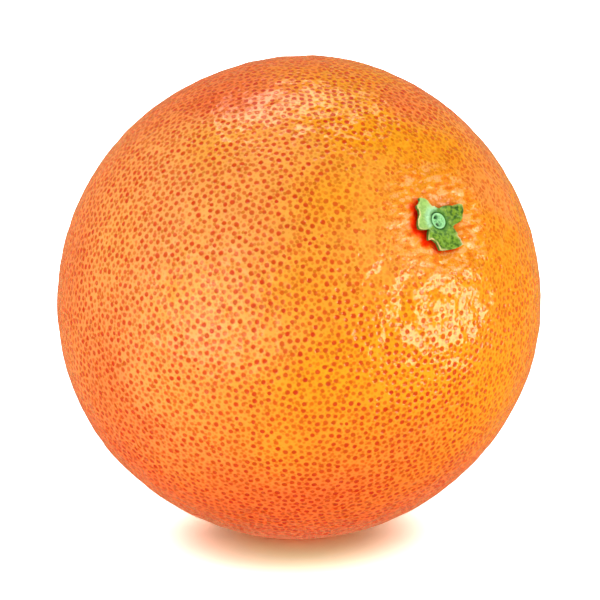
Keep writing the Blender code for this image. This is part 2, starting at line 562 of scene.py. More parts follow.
@dataclass(frozen=True)
class GlandField:
    """Where the rind's oil glands stand: evenly but never in rows, and finer near the stem."""

    flank_pitch: float = 1.42 * MM
    stem_pitch: float = 0.64 * MM
    fine_until: float = 6.5 * MM
    coarse_from: float = 15.0 * MM
    shake: float = 0.26
    push_rounds: int = 6
    push: float = 0.35
    least_gap: float = 0.5
    spiral_samples: int = 4096
    seed: int = 7

    def pitch(self, polar: Array, radius: float) -> Array:
        """Spacing of the glands at an angle from the stem, in metres."""
        coarse = smoothstep(self.fine_until, self.coarse_from, polar * radius)
        return self.stem_pitch + (self.flank_pitch - self.stem_pitch) * coarse

    def centres(self, radius: float) -> Array:
        """Directions of all the glands.

        They start along a golden spiral from the stem to the blossom end, whose turns stand as
        close as the pitch asks. Each is shaken sideways, and then those that stand too close
        push each other apart. The neighbours of a place on such a spiral are a Fibonacci number
        of places before or after it.

        Args:
            radius: The fruit's mean radius.

        Returns:
            Unit vectors as rows, in the fruit's own frame.
        """
        steps = np.linspace(0.0, math.pi, self.spiral_samples)
        cell = math.sqrt(3.0) / 2.0 * (self.pitch(steps, radius) / radius) ** 2
        ring = 2.0 * math.pi * np.sin(steps) / cell
        so_far = np.concatenate(([0.0], np.cumsum((ring[1:] + ring[:-1]) / 2.0))) * steps[1]
        number = np.arange(int(so_far[-1])) + 0.5
        polar = np.interp(number, so_far, steps)
        places = towards(number * GOLDEN_ANGLE, polar)
        wanted = self.pitch(polar, radius) / radius
        rng = np.random.default_rng(self.seed)
        places = places + rng.normal(size=places.shape) * (self.shake * wanted)[:, None]
        places /= np.linalg.norm(places, axis=1, keepdims=True)
        for _ in range(self.push_rounds):
            places = self.pushed(places, wanted)
        return self.thinned(places, wanted)

    def thinned(self, places: Array, wanted: Array) -> Array:
        """Drop one of every two glands that still stand much closer than the pitch.

        Args:
            places: Unit vectors as rows.
            wanted: The spacing wanted at each place, as an angle.

        Returns:
            The places that are kept.
        """
        corners = net_of(places)
        first, second = corners.ravel(), np.roll(corners, -1, axis=1).ravel()
        gap = np.linalg.norm(places[first] - places[second], axis=1)
        close = gap < self.least_gap * wanted[first]
        kept = np.ones(len(places), dtype=bool)
        kept[np.maximum(first[close], second[close])] = False
        return places[kept]

    def pushed(self, places: Array, wanted: Array) -> Array:
        """Push apart the places that stand closer than the pitch.

        Args:
            places: Unit vectors as rows, in the spiral's order.
            wanted: The spacing wanted at each place, as an angle.

        Returns:
            The places after one round of pushing.
        """
        moved = places.copy()
        for offset in FIBONACCI:
            gap = places[offset:] - places[:-offset]
            distance = np.linalg.norm(gap, axis=1)
            short = np.clip((wanted[offset:] + wanted[:-offset]) / 2.0 - distance, 0.0, None)
            shove = gap * (self.push * short / np.maximum(distance, TINY))[:, None]
            moved[offset:] += shove
            moved[:-offset] -= shove
        return moved / np.linalg.norm(moved, axis=1, keepdims=True)


def net_of(points: Array) -> Array:
    """Join points on a ball with triangles: their convex hull is their Delaunay net.

    Args:
        points: Unit vectors as rows.

    Returns:
        Rows of three point numbers, counter-clockwise from outside.
    """
    mesh = bpy.data.meshes.new("gland_net")
    mesh.from_pydata(points, [], [])
    net = bmesh.new()
    net.from_mesh(mesh)
    bmesh.ops.convex_hull(net, input=net.verts)
    bmesh.ops.triangulate(net, faces=net.faces)
    net.to_mesh(mesh)
    net.free()
    corners = np.empty(len(mesh.loops), dtype=np.int64)
    mesh.loops.foreach_get("vertex_index", corners)
    bpy.data.meshes.remove(mesh)
    triangles = corners.reshape(-1, 3)
    a, b, c = (points[triangles[:, i]] for i in range(3))
    inward = np.einsum("ij,ij->i", np.cross(b - a, c - a), a) < 0.0
    triangles[inward] = triangles[inward][:, ::-1]
    return triangles


@dataclass(frozen=True)
class Shades:
    """A colour of the rind's ground and of its glands."""

    ground: str
    gland: str


@dataclass(frozen=True)
class WaxyRind:
    """Citrus rind: a waxed yellow-orange skin over red-orange oil glands.

    The eye sees round red dots sunk in a satin skin, fainter olive pores between them, and
    a ground that goes from yellow-orange to a pink and then a red blush. A thin coat of wax
    follows the skin but not the pits, so it veils the dots where a lamp shines back. Light
    that enters the rind comes out red some millimetres away, which reddens its shadows. A
    fade is where a change starts and where it ends.
    """

    yellow: Shades = Shades("#EE9F18", "#C43000")
    pink: Shades = Shades("#F4A75A", "#D03C04")
    red: Shades = Shades("#EC7438", "#B82200")
    brown: str = "#C26000"
    brown_fade: Pair = (0.35, 1.0)
    brown_share: float = 0.32
    stem_ground: str = "#F88630"
    # Painted highlights on the tops of the shoulder's wrinkles, and painted shade in their
    # creases.
    ridge_highlight: str = "#FFB870"
    ridge_highlight_fade: Pair = (0.50, 0.60)
    crease_shade: str = "#E06A14"
    crease_shade_fade: Pair = (0.47, 0.36)
    pore_tint: str = "#DAB070"
    # Red of the calyx's painted shadow on the rind.
    calyx_shadow: str = "#F42800"
    patch: float = 6.0 * MM
    patch_fade: Pair = (0.3, 0.7)
    patch_light: float = 1.03
    patch_dark: float = 0.95
    dot_fade: Pair = (1.18, 0.48)
    pit_fade: Pair = (1.10, 0.3)
    core_fade: Pair = (0.70, 0.35)
    dull_depth: Pair = (0.45, 0.85)
    dull_core: float = 0.7
    dull_calyx_shadow: float = 0.6
    roughness: float = 0.11
    pit_roughness: float = 0.5
    skin_specular: float = 0.42
    shoulder_specular: float = 0.56
    pit_specular: float = 0.06
    calyx_shadow_specular: float = 0.05
    wax_share: float = 0.34
    shoulder_wax: float = 0.10
    wax_roughness: float = 0.19
    pit_depth: float = 0.14 * MM
    pore_depth: float = 0.03 * MM
    grain: float = 0.5 * MM
    grain_depth: float = 0.006 * MM
    pebble: float = 2.6 * MM
    pebble_depth: float = 0.46 * MM
    wrinkle: float = 0.95 * MM
    wrinkle_draw: Triple = (0.50, 1.0, 1.0)
    wrinkle_detail: float = 3.0
    wrinkle_depth: float = 0.22 * MM
    blot: float = 0.9 * MM
    wobble: float = 0.16 * MM
    glow_share: float = 0.45
    glow_reach: float = 6.0 * MM
    glow_colour: Triple = (1.0, 0.06, 0.02)

    def material(self, tilt: float) -> bpy.types.Material:
        """Make the material.

        Each face carries the centre of its gland and of its pore, so the dots are exact
        distances from those centres and stay round at any zoom.

        Args:
            tilt: The stem's turn about X from upright.

        Returns:
            The rind's material.
        """
        material, tree, shader = new_material("waxy citrus rind")
        place = tree.add("TexCoord").outputs["Object"]
        shaken = self.shaken(tree, place)
        gland = self.nearness(tree, shaken, "gland_centre", "gland_look")
        pore = self.nearness(tree, shaken, "pore_centre", "pore_look")
        wrinkles = self.wrinkles(tree, place, tilt)
        relief = self.relief(tree, place, gland["pit"], pore["pit"], wrinkles)
        # The calyx's painted shadow on the rind takes little gloss and no wax.
        near_stem, calyx_shadow = tree.attribute("blush")["z"], tree.attribute("stem_tint_and_shade")["y"]
        gloss = tree.ramped(near_stem, 0.0, 1.0, self.shoulder_specular, self.skin_specular)
        gloss = tree.ramped(gland["core"], 0.0, self.dull_core, self.pit_specular, gloss)
        wax = tree.ramped(near_stem, 0.0, 1.0, self.shoulder_wax, self.wax_share)
        tree.feed(shader, {
            "Base Color": self.colour(tree, place, gland["dot"], pore["dot"], wrinkles),
            "Roughness": tree.ramped(gland["core"], 0.0, 1.0, self.pit_roughness,
                                     self.roughness),
            "Specular IOR Level": tree.ramped(calyx_shadow, 0.0, self.dull_calyx_shadow,
                                              self.calyx_shadow_specular, gloss),
            "Normal": relief["pitted"],
            "Coat Weight": tree.ramped(calyx_shadow, 0.0, self.dull_calyx_shadow, 0.0, wax),
            "Coat Roughness": self.wax_roughness,
            "Coat Normal": relief["skin"],
            "Subsurface Weight": self.glow_share,
            "Subsurface Radius": self.glow_colour,
            "Subsurface Scale": self.glow_reach,
        })
        return material

    def shaken(self, tree: ShaderTree, place: Socket) -> Socket:
        """Shift places a little by noise, so that no dot is a perfect circle.

        Args:
            tree: The material's tree.
            place: The place of the shaded point.

        Returns:
            The socket with the shifted place.
        """
        blots = tree.noise(place, self.blot, 1.0).outputs["Color"]
        centred = tree.reckoned("SUBTRACT", blots, (0.5, 0.5, 0.5))
        return tree.reckoned("ADD", place,
                             tree.reckoned("MULTIPLY", centred, (2.0 * self.wobble,) * 3))

    def wrinkles(self, tree: ShaderTree, place: Socket, tilt: float) -> Socket:
        """Add the fine wrinkles of the stem's shoulder, drawn out across X.

        Args:
            tree: The material's tree.
            place: The place of the shaded point.
            tilt: The stem's turn about X from upright.

        Returns:
            The socket with the wrinkles' noise.
        """
        upright = tree.add("VectorRotate", {"Vector": place, "Angle": -tilt},
                           rotation_type="X_AXIS").outputs["Vector"]
        drawn = tree.reckoned("MULTIPLY", upright, self.wrinkle_draw)
        return tree.noise(drawn, self.wrinkle, self.wrinkle_detail).outputs["Fac"]

    def nearness(self, tree: ShaderTree, place: Socket, centre: str, look: str) -> dict[str,
                 Socket]:
        """Measure how near a place is to a centre.

        The distance is divided by the dot's own radius. The dot fades from full inside to
        none outside, and so does the pit, which reaches its full depth further in.

        Args:
            tree: The material's tree.
            place: The place of the shaded point.
            centre: The attribute with the centre.
            look: The attribute with the dot's radius, its strength and its pit's depth.

        Returns:
            The strength of the dot, of the pit and of its dull core, from 0 to 1.
        """
        middle, facts = tree.attribute(centre), tree.attribute(look)
        distance = tree.reckoned("DISTANCE", place, middle["all"])
        share = tree.number("DIVIDE", distance, facts["x"])
        dull = tree.ramped(facts["z"], *self.dull_depth)
        return {"dot": tree.ramped(share, *self.dot_fade, facts["y"]),
                "pit": tree.ramped(share, *self.pit_fade, facts["z"]),
                "core": tree.ramped(share, *self.core_fade, dull)}

    def colour(self, tree: ShaderTree, place: Socket, gland: Socket, pore: Socket,
               wrinkles: Socket) -> Socket:
        """Colour the ground by its blush, then the pores and glands, then the calyx's painted
        shadow.

        On the shoulder the wrinkles' tops get painted highlights and their creases painted shade.

        Args:
            tree: The material's tree.
            place: The place of the shaded point.
            gland: The strength of the gland's dot.
            pore: The strength of the pore's dot.
            wrinkles: The shoulder's wrinkles.

        Returns:
            The socket with the colour.
        """
        blush, tint_and_shade = tree.attribute("blush"), tree.attribute("stem_tint_and_shade")
        ground = tree.mixed(blush["x"], self.yellow.ground, self.pink.ground)
        ground = tree.mixed(blush["y"], ground, self.red.ground)
        ground = tree.mixed(tint_and_shade["x"], ground, self.stem_ground)
        # Painted highlights on the wrinkle tops and painted shade in the creases.
        ridge_highlight = tree.ramped(wrinkles, *self.ridge_highlight_fade, tint_and_shade["z"])
        crease_shade = tree.ramped(wrinkles, *self.crease_shade_fade, tint_and_shade["z"])
        ground = tree.mixed(ridge_highlight, ground, self.ridge_highlight)
        ground = tree.mixed(crease_shade, ground, self.crease_shade)
        deep = tree.mixed(blush["x"], self.yellow.gland, self.pink.gland)
        deep = tree.mixed(blush["y"], deep, self.red.gland)
        centre = tree.attribute("gland_centre")["all"]
        chance = tree.add("TexWhiteNoise", {"Vector": centre}).outputs["Value"]
        deep = tree.mixed(tree.ramped(chance, *self.brown_fade, self.brown_share), deep,
                          self.brown)
        patches = tree.ramped(tree.noise(place, self.patch).outputs["Fac"],
                              *self.patch_fade, self.patch_light, self.patch_dark)
        ground = tree.reckoned("MULTIPLY", ground, patches)
        ground = tree.mixed(pore, ground, self.pore_tint, "MULTIPLY")
        # Last comes the calyx's painted shadow.
        return tree.mixed(tint_and_shade["y"], tree.mixed(gland, ground, deep), self.calyx_shadow)

    def relief(self, tree: ShaderTree, place: Socket, gland: Socket, pore: Socket,
               wrinkles: Socket) -> dict[str, Socket]:
        """Give the skin its grain, pebbles and wrinkles, and sink the pores and glands in it.

        Args:
            tree: The material's tree.
            place: The place of the shaded point.
            gland: The depth of the gland's pit, from 0 to 1.
            pore: The depth of the pore's pit, from 0 to 1.
            wrinkles: The shoulder's wrinkles.

        Returns:
            The normal of the skin alone, and that of the skin with its pits.
        """
        grain = tree.noise(place, self.grain).outputs["Fac"]
        pebbles = tree.noise(place, self.pebble, 1.0).outputs["Fac"]
        folds = tree.number("MULTIPLY", wrinkles, tree.attribute("stem_tint_and_shade")["z"])
        skin = tree.bumped(grain, self.grain_depth)
        skin = tree.bumped(pebbles, self.pebble_depth, skin)
        skin = tree.bumped(folds, self.wrinkle_depth, skin)
        pores = tree.bumped(pore, self.pore_depth, skin, sunk=True)
        return {"skin": skin, "pitted": tree.bumped(gland, self.pit_depth, pores, sunk=True)}


@dataclass(frozen=True)
class Blush:
    """A blush that grows towards one side: from none at start to its shares at full."""

    way: Triple
    start: float
    full: float
    pink: float
    red: float


@dataclass
class Rind:
    """The whole fruit's outside, one closed skin with a pit at every oil gland.

    Every fade is where a change starts and where it ends: distances from the stem along the
    rind, unless its name says otherwise. A mix is a share for all glands and one that grows
    with the gland's boldness or strength.
    """

    shape: FruitShape
    edge: TornEdge
    glands: GlandField = field(default_factory=GlandField)
    finish: WaxyRind = field(default_factory=WaxyRind)
    gland_radius: float = 0.58 * MM
    most_of_gap: float = 0.42
    boldness: Pair = (1.9, 1.1)
    bold_size: Pair = (0.68, 0.40)
    strong_size: Pair = (0.50, 0.50)
    bold_redness: Pair = (0.50, 0.50)
    calm_redness: Pair = (0.20, 0.60)
    strong_mix: Pair = (0.30, 0.70)
    calm_fade: Pair = (26.0 * MM, 14.0 * MM)
    calm_flatness: float = 0.3
    pore_radius: float = 0.38 * MM
    pore_boldness: Pair = (1.0, 1.5)
    pore_bold_size: Pair = (0.6, 0.5)
    pore_far_size: Pair = (0.6, 0.4)
    pore_bold_strength: Pair = (0.15, 0.85)
    pore_far_strength: Pair = (0.4, 0.6)
    pore_shift: float = 0.07 * MM
    pore_fade: Pair = (6.0 * MM, 12.0 * MM)
    fine_boldness: float = 0.6
    pit_depth: float = 0.035 * MM
    lumps: Hills = Hills(0.03 * MM, 14.0 * MM, 3)
    dents: Hills = Hills(0.032 * MM, 3.6 * MM, 4)
    dent_growth: float = 2.4
    dent_fade: Pair = (28.0 * MM, 16.0 * MM)
    wrinkle_height: float = 0.07 * MM
    broad_folds: Hills = Hills(1.0, 1.5 * MM, 5)
    fine_folds: Hills = Hills(0.6, 0.825 * MM, 6)
    broad_draw: Pair = (0.50, 1.0)
    fine_draw: Pair = (0.60, 1.0)
    shoulder_start: Pair = (3.0 * MM, 5.5 * MM)
    shoulder_end: Pair = (12.8 * MM, 8.0 * MM)
    shoulder_share: float = 0.75
    salmon_share: float = 0.55
    salmon_fade: Pair = (9.5 * MM, 5.0 * MM)
    salmon_rags: Hills = Hills(1.2 * MM, 4.0 * MM, 12)
    # The calyx's painted shadow on the rind: its reach, its width and the side where it is widest.
    calyx_shadow_reach: float = 12.0 * MM
    calyx_shadow_width: float = 1.0 * MM
    calyx_shadow_side: float = math.radians(187.0)
    calyx_shadow_side_fade: Pair = (0.3, 0.85)
    calyx_shadow_widths: Pair = (0.35, 0.65)
    calyx_shadow_fade_in_widths: Pair = (1.7, 0.5)
    calyx_shadow_strengths: Pair = (0.5, 0.5)
    fine_fade: Pair = (12.0 * MM, 7.5 * MM)
    fine_side: Triple = (0.7604, -0.6494, 0.0)
    fine_side_fade: Pair = (0.60, 0.86)
    fine_side_share: float = 0.26
    near_stem_fade: Pair = (32.0 * MM, 20.0 * MM)
    blush_patches: Hills = Hills(0.06, 18.0 * MM, 11)
    blushes: tuple[Blush, ...] = (
        Blush((-0.76, 0.65, 0.10), -0.10, 0.75, 0.85, 0.0),
        # Redder and darker towards the bottom: partly the rind's own colour, partly painted shade
        # of the underside.
        Blush((0.0, 0.0, -1.0), 0.08, 1.0, 0.0, 1.0),
        Blush((0.14, 0.16, 0.98), 0.66, 0.98, 0.1, 0.75),
        Blush((0.47, -0.30, 0.82), 0.85, 0.98, 0.5, 0.15),
        Blush((-0.67, -0.56, 0.49), 0.78, 0.99, 0.40, 0.0),
        Blush((0.05, 0.98, -0.15), -0.40, 0.60, 0.2, 0.55),
        Blush((0.78, -0.60, 0.30), 0.45, 1.0, 0.0, 0.22),
        Blush((-0.76, 0.55, -0.33), 0.60, 1.0, 0.0, 0.16),
        Blush((-0.55, 0.24, -0.80), 0.10, 0.75, 0.1, 0.07),
    )
    seed: int = 21

    def build(self) -> bpy.types.Object:
        """Work out the skin.

        Each triangle between three glands is split into six by its middle and the middles of
        its sides. The glands' own vertices are then pressed in, so every gland is a twelve-
        sided pit, and its six ridges and six corners stay at the skin's height.

        Returns:
            The fruit's object.
        """
        radius = (self.shape.equator_radius + self.shape.pole_radius) / 2.0
        centres = self.glands.centres(radius)
        corners = net_of(centres)
        ways, faces, owner, cell = self.split(centres, corners)
        looks = self.gland_looks(centres, corners)
        depth = np.zeros(len(ways))
        depth[:len(centres)] = self.pit_depth * looks[:, 2]
        reach = self.shape.reach(ways)
        folds = self.folds(ways, reach)
        skin = self.shape.radius(ways) + self.unevenness(ways, reach, folds) - depth
        places = self.shape.lay_down(ways * skin[:, None])
        fruit = make_piece("orange_rind", places, faces, "fruit")
        add_values(fruit, "gland_centre", places[owner], Domain.FACE)
        add_values(fruit, "gland_look", looks[owner], Domain.FACE)
        self.add_pores(fruit, ways, places, cell)
        add_values(fruit, "blush", self.blush(ways), Domain.POINT)
        add_values(fruit, "stem_tint_and_shade", self.stem_tint_and_shade(ways, reach), Domain.POINT)
        return fruit

    def split(self, centres: Array, corners: Array) -> tuple[Array, ...]:
        """Split every triangle between three glands into six.

        Args:
            centres: The glands' directions.
            corners: Each triangle's three glands.

        Returns:
            The directions of all vertices, glands first and triangle middles last, the new
            triangles, the gland that each belongs to and the old triangle that it lies in.
        """
        following = np.roll(corners, -1, axis=1)
        pairs = np.sort(np.stack((corners, following), axis=-1).reshape(-1, 2), axis=1)
        sides, side_of = np.unique(pairs, axis=0, return_inverse=True)
        side_of = len(centres) + side_of.reshape(-1, 3)
        middle = len(centres) + len(sides) + np.arange(len(corners))
        ways = np.concatenate((centres, centres[sides].mean(axis=1),
                               centres[corners].mean(axis=1)))
        ways /= np.linalg.norm(ways, axis=1, keepdims=True)
        hub = np.repeat(middle[:, None], 3, axis=1)
        before = np.stack((corners, side_of, hub), axis=-1)
        after = np.stack((side_of, following, hub), axis=-1)
        faces = np.stack((before, after), axis=2).reshape(-1, 3)
        owner = np.stack((corners, following), axis=2).reshape(-1)
        cell = np.repeat(np.arange(len(corners)), 6)
        return ways, faces, owner, cell

    def fineness(self, ways: Array) -> Array:
        """Share of fine, pale glands: all round the stem and on the fruit's fine side.

        Args:
            ways: Directions as rows, in the fruit's own frame.

        Returns:
            One share for each direction.
        """
        side = smoothstep(*self.fine_side_fade,
                          ways @ self.shape.turn().T @ np.array(self.fine_side))
        return np.maximum(smoothstep(*self.fine_fade, self.shape.reach(ways)),
                          self.fine_side_share * side)

    def gland_looks(self, centres: Array, corners: Array) -> Array:
        """Give each gland its own radius, redness and depth.

        Args:
            centres: The glands' directions.
            corners: Each triangle's three glands.

        Returns:
            Rows of radius in metres, redness and depth, both from 0 to 1.
        """
        rng = np.random.default_rng(self.seed)
        bold = rng.beta(*self.boldness, len(centres))
        strong = 1.0 - self.fineness(centres)
        size = self.gland_radius * grown(self.bold_size, bold) * grown(self.strong_size, strong)
        following = np.roll(corners, -1, axis=1)
        gap = np.linalg.norm(centres[corners] - centres[following], axis=-1).ravel()
        nearest = np.full(len(centres), np.inf)
        np.minimum.at(nearest, corners.ravel(), gap)
        np.minimum.at(nearest, following.ravel(), gap)
        size = np.minimum(size, self.most_of_gap * nearest * self.shape.equator_radius)
        # Near the stem the glands are paler and shallower; the paleness is partly their own
        # colour, partly painted highlight where the gloss washes over them.
        calm = smoothstep(*self.calm_fade, self.shape.reach(centres))
        redness = (grown(self.bold_redness, bold) * (1.0 - calm)
                   + calm * grown(self.calm_redness, bold ** 2))
        redness = redness * grown(self.strong_mix, strong)
        depth = (grown(self.strong_mix, bold ** 2) * grown(self.strong_mix, strong)
                 * (1.0 - self.calm_flatness * calm))
        return np.stack((size, redness, depth), axis=-1)

    def folds(self, ways: Array, reach: Array) -> Array:
        """The shoulder's wrinkles: random hills, drawn out to twice their width across X.

        Args:
            ways: Directions as rows, in the fruit's own frame.
            reach: Their distances from the stem along the rind.

        Returns:
            One height for each direction, of about unit height and none off the shoulder.
        """
        flat = ways[:, :2] * self.shape.equator_radius
        broad = self.broad_folds.over(flat * self.broad_draw)
        return (broad + self.fine_folds.over(flat * self.fine_draw)) * self.shoulder(reach)

    def shoulder(self, reach: Array) -> Array:
        """How strongly the rind is creased at a distance from the stem, from 0 to 1."""
        return smoothstep(*self.shoulder_start, reach) * smoothstep(*self.shoulder_end, reach)

    def unevenness(self, ways: Array, reach: Array, folds: Array) -> Array:
        """Height of the lumps and dents all over and of the wrinkles round the stem.

        Args:
            ways: Directions as rows, in the fruit's own frame.
            reach: Their distances from the stem along the rind.
            folds: The wrinkles' heights there.

        Returns:
            One height for each direction.
        """
        ball = ways * self.shape.equator_radius
        near = 1.0 + self.dent_growth * smoothstep(*self.dent_fade, reach)
        return (self.lumps.over(ball) + near * self.dents.over(ball)
                + self.wrinkle_height * folds)

    def add_pores(self, fruit: bpy.types.Object, ways: Array, places: Array, cell: Array) -> None:
        """Tell each face where its pore lies and how it looks.

        Args:
            fruit: The fruit's object.
            ways: The directions of all vertices, with the triangle middles last.
            places: All vertices where they lie.
            cell: Each face's triangle between three glands.
        """
        rng = np.random.default_rng(self.seed + 1)
        count = int(cell.max()) + 1
        middles = places[-count:]
        fine = self.fineness(ways[-count:])
        bold = np.maximum(rng.beta(*self.pore_boldness, count), self.fine_boldness * fine)
        centres = middles + rng.normal(size=middles.shape) * self.pore_shift
        far = smoothstep(*self.pore_fade, self.shape.reach(ways[-count:]))
        size = self.pore_radius * grown(self.pore_bold_size, bold) * grown(self.pore_far_size, far)
        strength = grown(self.pore_bold_strength, bold) * grown(self.pore_far_strength, far)
        looks = np.stack((size, strength, bold), axis=-1)
        add_values(fruit, "pore_centre", centres[cell], Domain.FACE)
        add_values(fruit, "pore_look", looks[cell], Domain.FACE)

    def blush(self, ways: Array) -> Array:
        """Shares of the pink and the red blush, each summed over the sides they grow towards.

        Args:
            ways: Directions as rows, in the fruit's own frame.

        Returns:
            Rows of the pink share, the red share and the nearness to the stem.
        """
        patch = self.blush_patches.over(ways * self.shape.equator_radius)
        lying = ways @ self.shape.turn().T
        shares = np.zeros((len(ways), 3))
        for blush in self.blushes:
            way = np.array(blush.way) / np.linalg.norm(blush.way)
            full = smoothstep(blush.start, blush.full, lying @ way + patch)
            shares += full[:, None] * np.array((blush.pink, blush.red, 0.0))
        shares[:, 2] = smoothstep(*self.near_stem_fade, self.shape.reach(ways))
        return np.clip(shares, 0.0, 1.0)

    def stem_tint_and_shade(self, ways: Array, reach: Array) -> Array:
        """Shares of the salmon ground, of the calyx's painted shadow and of the shoulder.

        The painted shadow is full under the calyx and fades with the distance from its torn edge.
        It is widest and strongest on the side that the calyx shades. The shoulder's share sets its
        wrinkles' relief, their painted highlights and the painted shade in their creases.

        Args:
            ways: Directions as rows, in the fruit's own frame.
            reach: Their distances from the stem along the rind.

        Returns:
            Rows of the salmon share, the painted shadow's share and the shoulder's share.
        """
        shares = np.zeros((len(ways), 3))
        ragged = reach + self.salmon_rags.over(ways * self.shape.equator_radius)
        shares[:, 0] = self.salmon_share * smoothstep(*self.salmon_fade, ragged)
        shares[:, 2] = self.shoulder_share * self.shoulder(reach)
        # Painted shadow of the calyx: full under it, fading out from its torn edge.
        near = reach < self.calyx_shadow_reach
        flat = ways[near, :2] * self.shape.pole_radius
        azimuth = np.arctan2(flat[:, 1], flat[:, 0])
        inside = np.linalg.norm(flat, axis=1) < self.edge.reach(azimuth)
        shaded = smoothstep(*self.calyx_shadow_side_fade, np.cos(azimuth - self.calyx_shadow_side))
        widths = self.edge.distance(flat) / (self.calyx_shadow_width * grown(self.calyx_shadow_widths, shaded))
        fade = smoothstep(*self.calyx_shadow_fade_in_widths, widths) * grown(self.calyx_shadow_strengths, shaded)
        shares[near, 1] = np.where(inside, 1.0, fade)
        return shares

    def dress(self, fruit: bpy.types.Object) -> None:
        """Give the fruit its waxy rind."""
        fruit.data.materials.append(
            self.finish.material(math.pi / 2.0 - self.shape.stem_elevation))


@dataclass(frozen=True)
class SepalGreen:
    """A fresh calyx: thin fleshy green, mottled darker, with pale dry edges where it is torn.

    The eye sees three sepals of different greens, a mint-green collar round the stem and
    thick darker sides, whose green is also painted shade round the stem's hole.
    """

    left: str = "#98C262"
    right: str = "#789C18"
    low: str = "#7EA828"
    dark: str = "#2C5C00"
    pale: str = "#A6CE74"
    mint: str = "#A2D6A0"
    cream: str = "#E2DA96"
    # Darker green of the walls, also used as painted shade round the stem's hole.
    side: str = "#4C8430"
    fine: float = 0.70 * MM
    fine_detail: float = 1.5
    broad: float = 1.5 * MM
    pale_fade: Pair = (0.50, 0.70)
    pale_share: float = 0.5
    dark_fade: Pair = (0.36, 0.70)
    bump_depth: float = 0.025 * MM
    roughness: float = 0.5
    gloss: float = 0.25

    def material(self) -> bpy.types.Material:
        """Make the material.

        Returns:
            The calyx's material.
        """
        material, tree, shader = new_material("fresh sepal green")
        place = tree.add("TexCoord").outputs["Object"]
        sepal, rim = tree.attribute("sepal"), tree.attribute("sepal_rim")
        fine = tree.noise(place, self.fine, self.fine_detail).outputs["Fac"]
        broad = tree.noise(place, self.broad).outputs["Fac"]
        base = tree.mixed(sepal["x"], self.low, self.left)
        base = tree.mixed(sepal["y"], base, self.right)
        base = tree.mixed(tree.ramped(broad, *self.pale_fade, self.pale_share), base, self.pale)
        base = tree.mixed(tree.ramped(fine, *self.dark_fade, sepal["z"]), base, self.dark)
        base = tree.mixed(rim["x"], base, self.mint)
        # Darker walls, and painted shade round the stem's hole.
        base = tree.mixed(rim["z"], base, self.side)
        base = tree.mixed(rim["y"], base, self.cream)
        tree.feed(shader, {"Base Color": base, "Roughness": self.roughness,
                           "Specular IOR Level": self.gloss,
                           "Normal": tree.bumped(fine, self.bump_depth, sunk=True)})
        return material


@dataclass(frozen=True)
class PaleEdge:
    """A stretch of the calyx's edge that has dried pale, in degrees round the stem."""

    azimuth: float
    spread: float
    share: float


